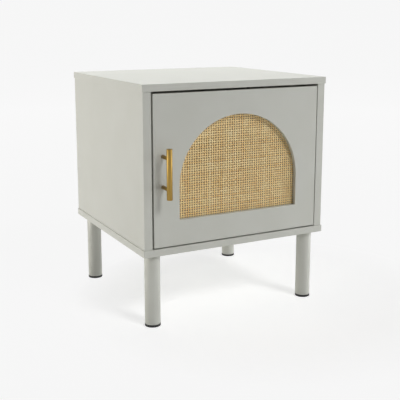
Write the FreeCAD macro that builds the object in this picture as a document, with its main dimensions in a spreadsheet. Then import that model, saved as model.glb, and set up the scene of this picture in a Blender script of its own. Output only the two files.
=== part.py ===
import FreeCAD, Part
import math
import os
import re

import Sketcher

# Storage side table: a board cabinet on four round legs, with one inset door.
# Millimetres, Z up, X to the right, the door faces -Y.
# The origin is on the floor, under the middle of the whole table, handle included.

doc = FreeCAD.newDocument("storage_side_table")
sheet = doc.addObject("Spreadsheet::Sheet", "Dims")

SIZES = {
    # boards of the cabinet
    "top_width": 450,
    "top_depth": 418,
    "top_thick": 15,
    "base_thick": 15,
    "side_thick": 18,
    "side_height": 329,
    "overhang": 2,
    "back_thick": 3,
    "back_inset": 10,
    "groove_depth": 6,
    "groove_slack": 0.2,
    "groove_end_room": 0.5,
    # legs and feet
    "leg_dia": 34,
    "leg_length": 155,
    "leg_inset_side": 30,
    "leg_inset_front": 28,
    "leg_inset_back": 34,
    "foot_dia": 34.6,
    "foot_height": 5,
    "spigot_dia": 8,
    "spigot_length": 14,
    "bolt_dia": 8,
    "bolt_in_leg": 25,
    "nut_dia": 11,
    "nut_length": 12,
    # door
    "door_thick": 15,
    "gap_top": 5,
    "gap_bottom": 2.5,
    "gap_left": 4,
    "gap_right": 2,
    "latch_stile": 59,
    "hinge_stile": 53,
    "bottom_rail": 54.5,
    "top_rail": 51,
    "lip_depth": 10,
    "rebate_width": 8,
    "cane_thick": 2,
    "rebate_slack": 0.3,
    "brad_wide": 1.4,
    "brad_head": 2.8,
    "brad_head_thick": 0.8,
    "brad_in_lip": 6,
    # handle
    "bar_dia": 12,
    "bar_length": 105,
    "post_dia": 8,
    "post_spacing": 64,
    "post_seat": 2,
    "handle_reach": 32,
    "handle_edge": 21,
    "handle_screw_dia": 4,
    "handle_screw_bite": 11,
    "screw_head_dia": 8,
    "screw_head_thick": 2.2,
    # concealed hinges: pivots lie behind the door face and left of the right side panel
    "hinge_end": 65,
    "cup_dia": 35,
    "cup_depth": 12.4,
    "cup_wall": 0.7,
    "cup_edge": 21.5,
    "cup_rim": 2,
    "flange_thick": 1,
    "wing_width": 12,
    "wing_length": 58,
    "wing_back": 9,
    "wing_corner": 4,
    "cup_screw_spacing": 48,
    "arm_outer_left": 30.2,
    "arm_outer_deep": 6.29,
    "arm_inner_left": 25.05,
    "arm_inner_deep": 7.78,
    "cup_outer_left": 17.84,
    "cup_outer_deep": 7.5,
    "cup_inner_left": 13.5,
    "cup_inner_deep": 5.8,
    "pin_dia": 2.2,
    "eye_dia": 4.2,
    "link_thick": 1.4,
    "link_gap": 0.3,
    "blade_thick": 3,
    "boss_length": 2.8,
    "boss_cover": 1.7,
    "pin_end": 0.1,
    "arm_width": 9.6,
    "arm_thick": 4.4,
    "arm_left": 38,
    "arm_cross": 31,
    "arm_tail": 62,
    "arm_bend": 2.6,
    "plate_thick": 2,
    "plate_block": 4,
    "plate_length": 48,
    "plate_width": 14,
    "plate_deep": 52,
    "plate_spacing": 32,
    "plate_corner": 4,
    "small_screw_dia": 3.5,
    "small_screw_length": 13,
    "small_head_dia": 6.4,
    "small_head_thick": 1.8,
    # magnetic catch
    "catch_below_top": 60,
    "catch_wide": 14,
    "catch_deep": 18,
    "catch_tall": 42,
    "catch_ear": 8,
    "catch_ear_thick": 3,
    "magnet_tall": 20,
    "magnet_wide": 8,
    "magnet_deep": 12,
    "magnet_lip": 1.5,
    "strike_thick": 1.6,
    "strike_wide": 10,
    "strike_tall": 30,
    "strike_inset": 1.5,
    "strike_head_thick": 0.9,
    # joinery
    "dowel_dia": 8,
    "dowel_in_board": 10,
    "dowel_in_side": 19,
    "dowel_front": 60,
    "dowel_back": 350,
    "lock_front": 110,
    "lock_back": 300,
    "cam_dia": 15,
    "cam_depth": 12.5,
    "cam_down": 34,
    "cam_slot": 1.6,
    "cam_bolt_dia": 6,
    "cam_bolt_head": 7,
    "cam_bolt_head_long": 3,
    "cam_bolt_in_top": 10,
    "base_screw_dia": 5,
    "base_screw_length": 50,
    "base_screw_head": 10,
    # clearances
    "press_room": 0.02,
    "run_room": 0.03,
    "open_room": 0.13,
    "hole_room": 0.1,
    "screw_end_room": 0.5,
}

for row, (alias, number) in enumerate(SIZES.items(), start=1):
    sheet.set("A%d" % row, alias)
    sheet.set("B%d" % row, str(number))
    sheet.setAlias("B%d" % row, alias)
doc.recompute()


def size(alias):
    return float(sheet.get(alias))


def bound(text):
    # a bare lower-case word is a cell of the sheet; a dotted one is a length of a datum point
    text = re.sub(r"(?<![\w.])([a-z][a-z_]*)(?![\w.])", r"Dims.\1", text)
    return re.sub(r"([a-z_]+\.[XYZ])", r"(\1 / 1 mm)", text)


def bind(item, prop, text):
    item.setExpression(prop, bound(text))


def put(item, x, y, z):
    bind(item, "Placement.Base.x", x)
    bind(item, "Placement.Base.y", y)
    bind(item, "Placement.Base.z", z)
    return item


def datum(name, x, y, z):
    point = doc.addObject("Part::Vertex", name)
    bind(point, "X", x)
    bind(point, "Y", y)
    bind(point, "Z", z)
    return point


# datum corners: underside of the base and of the top, floor of the cabinet, the door
plinth = datum("plinth", "-top_width/2", "-(top_depth - handle_reach - bar_dia/2 + overhang)/2",
               "foot_height + leg_length")
carcass = datum("carcass", "plinth.X + overhang", "plinth.Y + overhang", "plinth.Z + base_thick")
lid = datum("lid", "plinth.X", "plinth.Y", "carcass.Z + side_height")
bay = datum("bay", "top_width/2 - overhang - side_thick", "carcass.Y", "carcass.Z")
leaf = datum("leaf", "gap_left - bay.X", "carcass.Y", "carcass.Z + gap_bottom")
leaf_end = datum("leaf_end", "bay.X - gap_right", "carcass.Y + door_thick", "lid.Z - gap_top")
doc.recompute()

SIDE_DEPTH = "(top_depth - overhang)"
DOOR_WIDTH = "(leaf_end.X - leaf.X)"
DOOR_HEIGHT = "(leaf_end.Z - leaf.Z)"
ARCH_WIDTH = "(leaf_end.X - leaf.X - latch_stile - hinge_stile)"
ARCH_HEIGHT = "(leaf_end.Z - leaf.Z - bottom_rail - top_rail)"
BACK_FRONT = "(carcass.Y + top_depth - overhang - back_inset - back_thick)"
DIRECTIONS = {
    "x": FreeCAD.Rotation(FreeCAD.Vector(0, 1, 0), 90),
    "y": FreeCAD.Rotation(FreeCAD.Vector(1, 0, 0), -90),
    "z": FreeCAD.Rotation(),
}
# flat sides of screw shanks and of the hinge cups
SHANK_SIDES = 6
CUP_SIDES = 24
nodes = []
door_width = leaf_end.X.Value - leaf.X.Value
door_height = leaf_end.Z.Value - leaf.Z.Value
arch_width = door_width - size("latch_stile") - size("hinge_stile")
arch_height = door_height - size("bottom_rail") - size("top_rail")


def keep(item, label):
    item.Label = label
    nodes.append(item)
    return item


def box(name, length, width, height, x="0", y="0", z="0"):
    item = doc.addObject("Part::Box", name)
    bind(item, "Length", length)
    bind(item, "Width", width)
    bind(item, "Height", height)
    return put(item, x, y, z)


def rod(name, dia, length, x="0", y="0", z="0", along="z"):
    item = doc.addObject("Part::Cylinder", name)
    bind(item, "Radius", "(" + dia + ")/2")
    bind(item, "Height", length)
    item.Placement.Rotation = DIRECTIONS[along]
    return put(item, x, y, z)


def peg(name, dia, length, x="0", y="0", z="0", along="z", sides=8):
    # pieces that repeat, and the bores that take them, are drawn with flat sides
    item = doc.addObject("Part::Prism", name)
    item.Polygon = sides
    bind(item, "Circumradius", "(" + dia + ")/2")
    bind(item, "Height", length)
    item.Placement.Rotation = DIRECTIONS[along]
    return put(item, x, y, z)


def gather(name, items):
    group = doc.addObject("Part::Compound", name)
    group.Links = items
    return group


def cut(name, blank, tools):
    item = doc.addObject("Part::Cut", name)
    item.Base = blank
    item.Tool = tools[0] if len(tools) == 1 else gather(name + "_cuts", tools)
    return item


def fuse(name, items):
    item = doc.addObject("Part::MultiFuse", name)
    item.Shapes = items
    return item


# places along the depth where dowels and locks join a side to the top and the base
DOWELS = ("dowel_front", "dowel_back")
LOCKS = ("lock_front", "lock_back")
SIDES = ("overhang + side_thick/2", "top_width - overhang - side_thick/2")


def board_grooves(name, z):
    # groove that takes the back panel, closed at both ends inside the side panels
    return box(name + "_groove",
               "top_width - 2*overhang - 2*side_thick + 2*groove_depth",
               "back_thick + groove_slack", "groove_depth",
               "overhang + side_thick - groove_depth",
               "top_depth - back_inset - back_thick - groove_slack", z)


def edge_holes(name, spots, dia, length, z):
    holes = []
    for across in SIDES:
        for spot in spots:
            holes.append(peg("%s_%d" % (name, len(holes)), dia, length, across,
                             "overhang + " + spot, z))
    return holes


# top panel, grooved and drilled on its underside
top_tools = [board_grooves("top", "0")]
top_tools += edge_holes("top_dowel_hole", DOWELS, "dowel_dia + hole_room", "dowel_in_board", "0")
top_tools += edge_holes("top_lock_hole", LOCKS, "cam_bolt_dia + hole_room", "cam_bolt_in_top", "0")
top_panel = cut("top_panel", box("top_blank", "top_width", "top_depth", "top_thick"), top_tools)
keep(put(top_panel, "lid.X", "lid.Y", "lid.Z"), "top_panel")

# base panel, with stepped holes for its screws and bores for the leg nuts
LEG_X = ("leg_inset_side", "top_width - leg_inset_side")
LEG_Y = ("leg_inset_front", "top_depth - leg_inset_back")
base_tools = [board_grooves("base", "base_thick - groove_depth")]
base_tools += edge_holes("base_dowel_hole", DOWELS, "dowel_dia + hole_room", "dowel_in_board",
                         "base_thick - dowel_in_board")
base_tools += edge_holes("base_screw_hole", LOCKS, "base_screw_dia + hole_room", "base_thick", "0")
base_tools += edge_holes("base_screw_step", LOCKS, "base_screw_head + hole_room", "base_screw_dia",
                         "0")
for leg_x in LEG_X:
    for leg_y in LEG_Y:
        base_tools.append(peg("nut_bore_%d" % len(base_tools), "nut_dia + hole_room", "nut_length",
                              leg_x, leg_y, "0"))
base_panel = cut("base_panel", box("base_blank", "top_width", "top_depth", "base_thick"), base_tools)
keep(put(base_panel, "plinth.X", "plinth.Y", "plinth.Z"), "base_panel")


def side_panel(name, inner, x):
    # inner is the local X of the face towards the cabinet, drawn with the outer face at the other end
    left = inner == "side_thick"
    tools = [box(name + "_groove", "groove_depth", "back_thick + groove_slack", "side_height",
                 "side_thick - groove_depth" if left else "0",
                 SIDE_DEPTH + " - back_inset - back_thick - groove_slack", "0")]
    for spot in DOWELS:
        tools.append(peg(name + "_low_" + spot, "dowel_dia + hole_room", "dowel_in_side",
                         "side_thick/2", spot, "0"))
        tools.append(peg(name + "_high_" + spot, "dowel_dia + hole_room", "dowel_in_side",
                         "side_thick/2", spot, "side_height - dowel_in_side"))
    for spot in LOCKS:
        tools.append(peg(name + "_cam_" + spot, "cam_dia + hole_room", "cam_depth",
                         "side_thick - cam_depth" if left else "0", spot, "side_height - cam_down",
                         along="x", sides=16))
        tools.append(peg(name + "_bolt_" + spot, "cam_bolt_head + 2*hole_room", "cam_down",
                         "side_thick/2", spot, "side_height - cam_down"))
        tools.append(peg(name + "_pilot_" + spot, "base_screw_dia + hole_room",
                         "base_screw_length - base_thick + base_screw_dia", "side_thick/2", spot, "0"))
    if left:
        for sign in ("-", "+"):
            tools.append(peg(name + "_catch_" + ("low" if sign == "-" else "high"),
                             "small_screw_dia + hole_room", "small_screw_length - catch_ear_thick",
                             "side_thick - small_screw_length + catch_ear_thick",
                             "door_thick + strike_thick + catch_deep/2",
                             "side_height - catch_below_top " + sign + " (catch_tall + catch_ear)/2",
                             along="x", sides=SHANK_SIDES))
    else:
        for end in ("gap_bottom + hinge_end", "side_height - gap_top - hinge_end"):
            for sign in ("-", "+"):
                tools.append(peg("%s_plate_%d" % (name, len(tools)), "small_screw_dia + hole_room",
                                 "small_screw_length - plate_thick", "0", "plate_deep",
                                 end + sign + "plate_spacing/2", along="x", sides=SHANK_SIDES))
    panel = cut(name, box(name + "_blank", "side_thick", SIDE_DEPTH, "side_height"), tools)
    return keep(put(panel, x, "carcass.Y", "carcass.Z"), name)


side_panel("left_side_panel", "side_thick", "carcass.X")
side_panel("right_side_panel", "0", "bay.X")

back_panel = box("back_panel",
                 "top_width - 2*overhang - 2*side_thick + 2*groove_depth - 2*groove_end_room",
                 "back_thick", "side_height + 2*groove_depth - groove_end_room",
                 "carcass.X + side_thick - groove_depth + groove_end_room", BACK_FRONT,
                 "carcass.Z - groove_depth")
keep(back_panel, "back_panel")


# legs with their feet
FOOT_SIDES = 36


def leg_set(name, x, y):
    leg = cut(name + "_leg", rod(name + "_leg_blank", "leg_dia", "leg_length"),
              [peg(name + "_leg_top_hole", "bolt_dia + hole_room", "bolt_in_leg", "0", "0",
                   "leg_length - bolt_in_leg"),
               peg(name + "_leg_foot_hole", "spigot_dia + hole_room", "spigot_length + hole_room")])
    keep(put(leg, "plinth.X + " + x, "plinth.Y + " + y, "foot_height"), name + "_leg")
    # the foot is a low disc with a spigot up into the leg
    foot = fuse(name + "_foot", [peg(name + "_pad", "foot_dia", "foot_height", sides=FOOT_SIDES),
                                 peg(name + "_spigot", "spigot_dia", "spigot_length", "0", "0",
                                     "foot_height")])
    keep(put(foot, "plinth.X + " + x, "plinth.Y + " + y, "0"), name + "_foot")


leg_set("front_left", LEG_X[0], LEG_Y[0])
leg_set("front_right", LEG_X[1], LEG_Y[0])
leg_set("back_left", LEG_X[0], LEG_Y[1])
leg_set("back_right", LEG_X[1], LEG_Y[1])

bolts = []
nuts = []
for leg_x in LEG_X:
    for leg_y in LEG_Y:
        tag = "_%d" % len(bolts)
        bolts.append(peg("hanger_bolt" + tag, "bolt_dia", "bolt_in_leg + nut_length", leg_x, leg_y,
                         "-bolt_in_leg"))
        nuts.append(cut("insert_nut" + tag,
                        peg("nut_blank" + tag, "nut_dia", "nut_length", leg_x, leg_y, "0"),
                        [peg("nut_thread" + tag, "bolt_dia + hole_room", "nut_length", leg_x, leg_y,
                             "0")]))
keep(put(gather("leg_hanger_bolts", bolts), "plinth.X", "plinth.Y", "plinth.Z"), "leg_hanger_bolts")
keep(put(gather("leg_insert_nuts", nuts), "plinth.X", "plinth.Y", "plinth.Z"), "leg_insert_nuts")


# joinery between the boards
dowels = []
cam_bolts = []
cams = []
base_screws = []
for across, inward in zip(SIDES, ("", "-")):
    for spot in DOWELS:
        for level in ("carcass.Z - dowel_in_board", "lid.Z - dowel_in_side"):
            dowels.append(peg("dowel_%d" % len(dowels), "dowel_dia", "dowel_in_board + dowel_in_side",
                              across, "overhang + " + spot, level))
    for spot in LOCKS:
        tag = "_%d" % len(cams)
        deep = "overhang + " + spot
        cam_bolts.append(fuse("cam_bolt" + tag, [
            peg("cam_bolt_shank" + tag, "cam_bolt_dia", "cam_down + cam_bolt_in_top", across, deep,
                "lid.Z - cam_down"),
            peg("cam_bolt_head" + tag, "cam_bolt_head", "cam_bolt_head_long", across, deep,
                "lid.Z - cam_down")]))
        face = "overhang + side_thick - cam_depth" if inward == "" else \
            "top_width - overhang - side_thick"
        slot_at = "overhang + side_thick - cam_slot" if inward == "" else face
        cams.append(cut("cam" + tag, peg("cam_blank" + tag, "cam_dia", "cam_depth", face, deep,
                                         "lid.Z - cam_down", along="x", sides=16), [
            peg("cam_mouth" + tag, "cam_bolt_head + 2*hole_room", "cam_dia", across, deep,
                "lid.Z - cam_down - hole_room"),
            box("cam_slot_wide" + tag, "cam_slot", "cam_dia/2", "cam_slot", slot_at,
                deep + " - cam_dia/4", "lid.Z - cam_down - cam_dia/4 - cam_slot/2"),
            box("cam_slot_tall" + tag, "cam_slot", "cam_slot", "cam_dia/4", slot_at,
                deep + " - cam_slot/2", "lid.Z - cam_down - cam_dia/2 + cam_slot/2")]))
        base_screws.append(fuse("base_screw" + tag, [
            peg("base_screw_shank" + tag, "base_screw_dia", "base_screw_length", across, deep,
                "plinth.Z"),
            peg("base_screw_head" + tag, "base_screw_head", "base_screw_dia - press_room", across, deep,
                "plinth.Z")]))
for label, items in (("dowels", dowels), ("top_cam_bolts", cam_bolts), ("top_cam_locks", cams),
                     ("base_screws", base_screws)):
    keep(put(gather(label, items), "plinth.X", "plinth.Y", "0"), label)


# sketches of the door are drawn on its front plane, X across and Y up
def plane_sketch(body, name, deep=None):
    sketch = body.newObject("Sketcher::SketchObject", name)
    plane = [item for item in body.Origin.OriginFeatures if item.Role == "XZ_Plane"][0]
    sketch.AttachmentSupport = [(plane, "")]
    sketch.MapMode = "FlatFace"
    if deep:
        bind(sketch, "AttachmentOffset.Base.z", "-(" + deep + ")")
    return sketch


def named(sketch, index, name, text):
    sketch.renameConstraint(index, name)
    bind(sketch, "Constraints." + name, text)


def line(x1, y1, x2, y2):
    return Part.LineSegment(FreeCAD.Vector(x1, y1, 0), FreeCAD.Vector(x2, y2, 0))


def rectangle(sketch, width, height, start_width, start_height):
    corners = ((0, 0), (start_width, 0), (start_width, start_height), (0, start_height))
    for first in range(4):
        sketch.addGeometry(line(*corners[first], *corners[(first + 1) % 4]), False)
    for first in range(4):
        sketch.addConstraint(Sketcher.Constraint("Coincident", first, 2, (first + 1) % 4, 1))
    sketch.addConstraint(Sketcher.Constraint("Coincident", 0, 1, -1, 1))
    for flat in (0, 2):
        sketch.addConstraint(Sketcher.Constraint("Horizontal", flat))
    for upright in (1, 3):
        sketch.addConstraint(Sketcher.Constraint("Vertical", upright))
    named(sketch, sketch.addConstraint(Sketcher.Constraint("DistanceX", 0, 1, 0, 2, start_width)),
          "width", width)
    named(sketch, sketch.addConstraint(Sketcher.Constraint("DistanceY", 1, 1, 1, 2, start_height)),
          "height", height)


def arch(sketch, grow, tag):
    # straight sill and jambs under a half circle, grown outwards by a bound distance
    spread = {"0": 0, "rebate_width": size("rebate_width"),
              "rebate_width - rebate_slack": size("rebate_width") - size("rebate_slack")}[grow]
    x = size("latch_stile") - spread
    y = size("bottom_rail") - spread
    wide = arch_width + 2 * spread
    rise = arch_height - arch_width / 2 + spread
    first = sketch.GeometryCount
    sill, right, bow, left = first, first + 1, first + 2, first + 3
    sketch.addGeometry(line(x, y, x + wide, y), False)
    sketch.addGeometry(line(x + wide, y, x + wide, y + rise), False)
    centre = FreeCAD.Vector(x + wide / 2, y + rise, 0)
    ring = Part.Circle(centre, FreeCAD.Vector(0, 0, 1), wide / 2)
    sketch.addGeometry(Part.ArcOfCircle(ring, 0, math.pi), False)
    sketch.addGeometry(line(x, y + rise, x, y), False)
    sketch.addConstraint(Sketcher.Constraint("Coincident", sill, 2, right, 1))
    sketch.addConstraint(Sketcher.Constraint("Tangent", right, 2, bow, 1))
    sketch.addConstraint(Sketcher.Constraint("Tangent", bow, 2, left, 1))
    sketch.addConstraint(Sketcher.Constraint("Coincident", left, 2, sill, 1))
    sketch.addConstraint(Sketcher.Constraint("Horizontal", sill))
    sketch.addConstraint(Sketcher.Constraint("Vertical", right))
    sketch.addConstraint(Sketcher.Constraint("Vertical", left))
    named(sketch, sketch.addConstraint(Sketcher.Constraint("DistanceX", -1, 1, sill, 1, x)),
          tag + "_stile", "latch_stile - (" + grow + ")")
    named(sketch, sketch.addConstraint(Sketcher.Constraint("DistanceY", -1, 1, sill, 1, y)),
          tag + "_sill", "bottom_rail - (" + grow + ")")
    named(sketch, sketch.addConstraint(Sketcher.Constraint("DistanceX", sill, 1, sill, 2, wide)),
          tag + "_width", ARCH_WIDTH + " + 2*(" + grow + ")")
    named(sketch, sketch.addConstraint(Sketcher.Constraint("DistanceY", right, 1, right, 2, rise)),
          tag + "_rise", ARCH_HEIGHT + " - " + ARCH_WIDTH + "/2 + (" + grow + ")")


def pad(body, sketch, thick):
    item = body.newObject("PartDesign::Pad", sketch.Name + "_pad")
    item.Profile = sketch
    item.Reversed = True
    bind(item, "Length", thick)
    return item


def pocket(body, sketch, depth=None):
    # without a depth the cut goes from the front plane right through to the back
    item = body.newObject("PartDesign::Pocket", sketch.Name + "_pocket")
    item.Profile = sketch
    if depth:
        item.Reversed = True
        bind(item, "Length", depth)
    else:
        item.Type = "ThroughAll"
    return item


def bores(name, spots, dia, front, depth, sides=SHANK_SIDES):
    # few-sided bores along the depth of the door, from a front level
    return [peg("%s_%d" % (name, number), dia, depth, x, front, z, along="y", sides=sides)
            for number, (x, z) in enumerate(spots)]


def slots(name, spots, wide, front, depth):
    # square bores along the depth of the door, from a front level
    return [box("%s_%d" % (name, number), wide, depth, wide, x + " - (" + wide + ")/2", front,
                z + " - (" + wide + ")/2")
            for number, (x, z) in enumerate(spots)]


# spots on the door, measured from its lower left corner
SIGNS = (" - ", " + ")
ARCH_MIDDLE = "latch_stile + " + ARCH_WIDTH + "/2"
SPRING = "bottom_rail + " + ARCH_HEIGHT + " - " + ARCH_WIDTH + "/2"
BRAD_LINE = "(" + ARCH_WIDTH + " + rebate_width)/2"
BRAD_LEVEL = "bottom_rail - rebate_width/2"
# three brads along the sill, one in each jamb and five round the bow
brad_spots = [(ARCH_MIDDLE + " + %g*" % share + BRAD_LINE, BRAD_LEVEL) for share in (-0.8, 0, 0.8)]
for sign in SIGNS:
    brad_spots.append((ARCH_MIDDLE + sign + BRAD_LINE, "(" + SPRING + " + " + BRAD_LEVEL + ")/2"))
for turn in (10, 50, 90, 130, 170):
    brad_spots.append((ARCH_MIDDLE + " + %.4f*" % math.cos(math.radians(turn)) + BRAD_LINE,
                       SPRING + " + %.4f*" % math.sin(math.radians(turn)) + BRAD_LINE))
HINGE_LEVELS = ("hinge_end", DOOR_HEIGHT + " - hinge_end")
CUP_ACROSS = DOOR_WIDTH + " - cup_edge"
handle_spots = [("handle_edge", DOOR_HEIGHT + "/2" + sign + "post_spacing/2") for sign in SIGNS]
cup_spots = [(CUP_ACROSS, level) for level in HINGE_LEVELS]
cup_screw_spots = [(CUP_ACROSS + " - wing_back", level + sign + "cup_screw_spacing/2")
                   for level in HINGE_LEVELS for sign in SIGNS]
strike_spots = [("strike_inset + strike_wide/2", "side_height - catch_below_top - gap_bottom")]

# door panel: padded outline, arch cut through, rebate and bores cut from behind
door = doc.addObject("PartDesign::Body", "door_blank")
outline = plane_sketch(door, "door_outline")
rectangle(outline, DOOR_WIDTH, DOOR_HEIGHT, door_width, door_height)
pad(door, outline, "door_thick")
opening = plane_sketch(door, "arch_opening")
arch(opening, "0", "opening")
pocket(door, opening)
rebate = plane_sketch(door, "arch_rebate", "door_thick")
arch(rebate, "rebate_width", "rebate")
pocket(door, rebate, "door_thick - lip_depth")
SMALL_BORE = "small_screw_dia + hole_room"
BRAD_BORE = "brad_wide + hole_room"
door_tools = bores("handle_hole", handle_spots, "handle_screw_dia + hole_room", "0", "door_thick")
door_tools += bores("cup_bore", cup_spots, "cup_dia + hole_room", "door_thick - cup_depth", "cup_depth",
                    sides=CUP_SIDES)
door_tools += bores("cup_screw_hole", cup_screw_spots, SMALL_BORE,
                    "door_thick + flange_thick - small_screw_length",
                    "small_screw_length - flange_thick")
door_tools += bores("strike_hole", strike_spots, SMALL_BORE,
                    "door_thick + strike_thick - strike_head_thick - small_screw_length",
                    "small_screw_length - strike_thick + strike_head_thick")
door_tools += slots("door_brad_hole", brad_spots, BRAD_BORE, "lip_depth - brad_in_lip - hole_room",
                    "brad_in_lip + hole_room")
keep(put(cut("door_panel", door, door_tools), "leaf.X", "leaf.Y", "leaf.Z"), "door_panel")

# woven sheet in the rebate, drawn as one thin arched sheet
cane = doc.addObject("PartDesign::Body", "cane_blank")
cane_outline = plane_sketch(cane, "cane_outline")
arch(cane_outline, "rebate_width - rebate_slack", "sheet")
pad(cane, cane_outline, "cane_thick")
cane_panel = cut("cane_panel", cane, slots("cane_brad_hole", brad_spots, BRAD_BORE, "0", "cane_thick"))
keep(put(cane_panel, "leaf.X", "leaf.Y + lip_depth", "leaf.Z"), "cane_panel")

# frame that closes the rebate and clamps the woven sheet
FRAME_THICK = "door_thick - lip_depth - cane_thick"
frame = doc.addObject("PartDesign::Body", "frame_blank")
frame_outline = plane_sketch(frame, "frame_outline")
arch(frame_outline, "rebate_width - rebate_slack", "outer")
arch(frame_outline, "0", "inner")
pad(frame, frame_outline, FRAME_THICK)
cane_frame = cut("cane_frame", frame, slots("frame_brad_hole", brad_spots, BRAD_BORE, "0", FRAME_THICK))
keep(put(cane_frame, "leaf.X", "leaf.Y + lip_depth + cane_thick", "leaf.Z"), "cane_frame")

# square brads with flat heads on the back of the frame
brads = []
for shank, head in zip(slots("brad_shank", brad_spots, "brad_wide", "lip_depth - brad_in_lip",
                             "door_thick - lip_depth + brad_in_lip"),
                       slots("brad_head", brad_spots, "brad_head", "door_thick", "brad_head_thick")):
    brads.append(fuse("brad_%d" % len(brads), [shank, head]))
keep(put(gather("cane_frame_brads", brads), "leaf.X", "leaf.Y", "leaf.Z"), "cane_frame_brads")


def screws(label, spots, corner, seat, length, head_thick="small_head_thick", forward=False, along="y",
           shank="small_screw_dia", head="small_head_dia"):
    # screws along one axis from a seat; forward ones run towards the plus end of that axis
    items = []
    start = seat if forward else seat + " - (" + length + ")"
    cap = seat + " - " + head_thick if forward else seat
    for across, up in spots:
        tag = "%s_%d" % (label, len(items))
        turned = [(across, level, up) if along == "y" else (level, across, up) for level in (start, cap)]
        items.append(fuse(tag, [peg(tag + "_shank", shank, length, *turned[0], along=along,
                                    sides=SHANK_SIDES),
                                peg(tag + "_head", head, head_thick, *turned[1], along=along)]))
    return keep(put(gather(label, items), corner + ".X", corner + ".Y", corner + ".Z"), label)


# handle: a round bar let down over two posts
HANDLE_Z = "leaf.Z + " + DOOR_HEIGHT + "/2"
bar = cut("handle_bar", rod("bar_blank", "bar_dia", "bar_length", "0", "0", "-bar_length/2"), [
    rod("bar_seat_low", "post_dia + hole_room", "bar_dia", "0", "bar_dia/2 - post_seat",
        "-post_spacing/2", along="y"),
    rod("bar_seat_high", "post_dia + hole_room", "bar_dia", "0", "bar_dia/2 - post_seat",
        "post_spacing/2", along="y")])
keep(put(bar, "leaf.X + handle_edge", "leaf.Y - handle_reach", HANDLE_Z), "handle_bar")

posts = []
for sign in ("-", "+"):
    level = sign + "post_spacing/2"
    posts.append(cut("post_" + ("low" if sign == "-" else "high"),
                     rod("post_blank" + ("_low" if sign == "-" else "_high"), "post_dia",
                         "handle_reach - bar_dia/2 + post_seat", "0", "bar_dia/2 - post_seat", level,
                         along="y"),
                     [peg("post_bore" + ("_low" if sign == "-" else "_high"),
                          "handle_screw_dia + hole_room", "handle_screw_bite + hole_room", "0",
                          "handle_reach - handle_screw_bite - hole_room", level, along="y",
                          sides=SHANK_SIDES)]))
keep(put(gather("handle_posts", posts), "leaf.X + handle_edge", "leaf.Y - handle_reach", HANDLE_Z),
     "handle_posts")
screws("handle_screws", handle_spots, "leaf", "door_thick", "door_thick + handle_screw_bite",
       head_thick="screw_head_thick", shank="handle_screw_dia", head="screw_head_dia")


# concealed hinges, drawn about the corner of door face and right side, level with each hinge
def pivot(name):
    return FreeCAD.Vector(-size(name + "_left"), size(name + "_deep"), 0)


UPWARDS = FreeCAD.Vector(0, 0, 1)
BACKWARDS = FreeCAD.Vector(0, 1, 0)
RIGHTWARDS = FreeCAD.Vector(1, 0, 0)
BORE_SIDES = 8
EYE_SIDES = 12
END_SIDES = 6
ARM_OUTER = pivot("arm_outer")
ARM_INNER = pivot("arm_inner")
CUP_OUTER = pivot("cup_outer")
CUP_INNER = pivot("cup_inner")
pin_r = size("pin_dia") / 2
eye_r = size("eye_dia") / 2
blade_top = size("blade_thick") / 2
inner_low = blade_top + size("link_gap")
inner_high = inner_low + size("link_thick")
outer_low = inner_high + size("link_gap")
outer_high = outer_low + size("link_thick")
boss_low = outer_high + size("link_gap")
boss_high = boss_low + size("boss_length")


def stem(centre, radius, low, high):
    return Part.makeCylinder(radius, high - low, FreeCAD.Vector(centre.x, centre.y, low))


def prism(sides, radius, length, base, direction):
    # few-sided round with its corners on the axes
    corners = [FreeCAD.Vector(radius * math.cos(2 * math.pi * turn / sides),
                              radius * math.sin(2 * math.pi * turn / sides), 0)
               for turn in range(sides)]
    shape = Part.Face(Part.makePolygon(corners + corners[:1])).extrude(FreeCAD.Vector(0, 0, length))
    shape.Placement = FreeCAD.Placement(base, FreeCAD.Rotation(UPWARDS, direction))
    return shape


def seat_bore(centre, low, high):
    # bore whose flats grip a round pin
    grip = (pin_r + size("press_room")) / math.cos(math.pi / BORE_SIDES)
    return prism(BORE_SIDES, grip, high - low, FreeCAD.Vector(centre.x, centre.y, low), UPWARDS)


def screw_bore(base, direction, length):
    return prism(SHANK_SIDES, (size("small_screw_dia") + size("hole_room")) / 2, length, base, direction)


def both(shape):
    # a shape above the middle plane of the hinge, and its mirror image below
    return [shape, shape.mirror(FreeCAD.Vector(0, 0, 0), UPWARDS)]


def bar_face(first, last, radius):
    # flat bar with few-sided round ends about two centres
    heading = math.atan2(last.y - first.y, last.x - first.x)
    corners = []
    for centre, start in ((last, heading - math.pi / 2), (first, heading + math.pi / 2)):
        for step in range(END_SIDES + 1):
            turn = start + math.pi * step / END_SIDES
            corners.append(centre + FreeCAD.Vector(math.cos(turn), math.sin(turn), 0) * radius)
    return Part.Face(Part.makePolygon(corners + corners[:1]))


def eye_bore(centre, room, low, high):
    # bore whose flats run round a pin with some room
    reach = (pin_r + room) / math.cos(math.pi / EYE_SIDES)
    return prism(EYE_SIDES, reach, high - low, FreeCAD.Vector(centre.x, centre.y, low), UPWARDS)


def link(first, last, low, high, first_room, last_room):
    plate = bar_face(first, last, eye_r).extrude(FreeCAD.Vector(0, 0, high - low))
    plate.translate(FreeCAD.Vector(0, 0, low))
    plate = plate.cut(eye_bore(first, first_room, low, high))
    return plate.cut(eye_bore(last, last_room, low, high))


def block(x1, x2, y1, y2, half):
    return Part.makeBox(x2 - x1, y2 - y1, 2 * half, FreeCAD.Vector(x1, y1, -half))


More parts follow.
